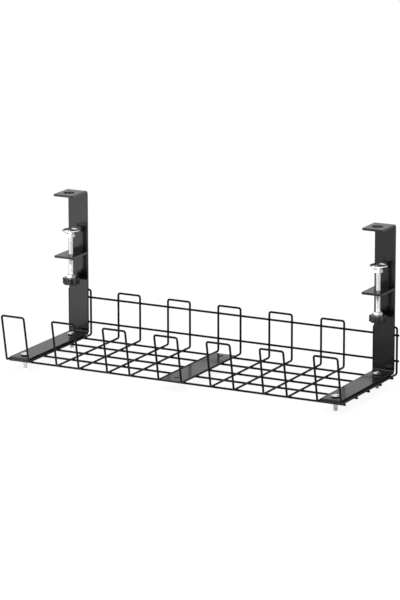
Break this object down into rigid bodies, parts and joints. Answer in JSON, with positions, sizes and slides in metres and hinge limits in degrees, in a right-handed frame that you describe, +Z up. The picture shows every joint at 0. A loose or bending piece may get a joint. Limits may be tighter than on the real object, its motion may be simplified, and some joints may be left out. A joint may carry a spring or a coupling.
{
  "type": "under-desk cable tray",
  "caption": "Black welded wire cable tray that hangs under a desk from two clamp brackets with knob-turned screws.",
  "frame": {"origin": "middle of the footprint, level with the tips of the base bolts, on which the tray stands", "axes": "+X along the tray, +Y from the open front to the bracket side, +Z up towards the desk"},
  "size_m": [0.441, 0.1656, 0.1931],
  "materials": {
    "powder_coat": "semi-gloss black powder coat on steel",
    "zinc_plate": "bright zinc plate",
    "knob_plastic": "moulded black plastic"
  },
  "bodies": {
    "tray": {"hoop_1": "powder_coat", "hoop_2": "powder_coat", "hoop_3": "powder_coat", "hoop_4": "powder_coat", "hoop_5": "powder_coat", "hoop_6": "powder_coat", "hoop_7": "powder_coat", "floor_wire_1": "powder_coat", "floor_wire_2": "powder_coat", "floor_wire_3": "powder_coat", "floor_wire_4": "powder_coat", "floor_wire_5": "powder_coat", "back_wire_lower": "powder_coat", "back_wire_upper": "powder_coat", "support_plate_left": "powder_coat", "support_plate_middle": "powder_coat", "support_plate_right": "powder_coat", "bracket_left": "powder_coat", "clamp_plate_left": "powder_coat", "bolt_left_front": "zinc_plate", "bolt_left_rear": "zinc_plate", "bracket_right": "powder_coat", "clamp_plate_right": "powder_coat", "bolt_right_front": "zinc_plate", "bolt_right_rear": "zinc_plate"},
    "pad_left": {"pad_left": "zinc_plate"},
    "screw_left": {"clamp_screw_left": "zinc_plate", "pad_nut_left": "zinc_plate", "knob_nut_left": "zinc_plate", "knob_left": "knob_plastic"},
    "pad_right": {"pad_right": "zinc_plate"},
    "screw_right": {"clamp_screw_right": "zinc_plate", "pad_nut_right": "zinc_plate", "knob_nut_right": "zinc_plate", "knob_right": "knob_plastic"}
  },
  "joints": [
    {"name": "pad_left_lift", "type": "slide", "parent": "tray", "child": "pad_left", "axis": [0, 0, 1], "range_m": [-0.02, 0.022]},
    {"name": "knob_left_turn", "type": "hinge", "parent": "pad_left", "child": "screw_left", "pos_m": [-0.204, 0.05767, 0.14242], "axis": [0, 0, 1], "range_deg": [-7200, 7920]},
    {"name": "pad_right_lift", "type": "slide", "parent": "tray", "child": "pad_right", "axis": [0, 0, 1], "range_m": [-0.02, 0.022]},
    {"name": "knob_right_turn", "type": "hinge", "parent": "pad_right", "child": "screw_right", "pos_m": [0.204, 0.05767, 0.14242], "axis": [0, 0, 1], "range_deg": [-7200, 7920]}
  ],
  "couplings": [
    {"joint": "pad_left_lift", "follows": "knob_left_turn", "m_per_rad": 0.00015915},
    {"joint": "pad_right_lift", "follows": "knob_right_turn", "m_per_rad": 0.00015915}
  ]
}
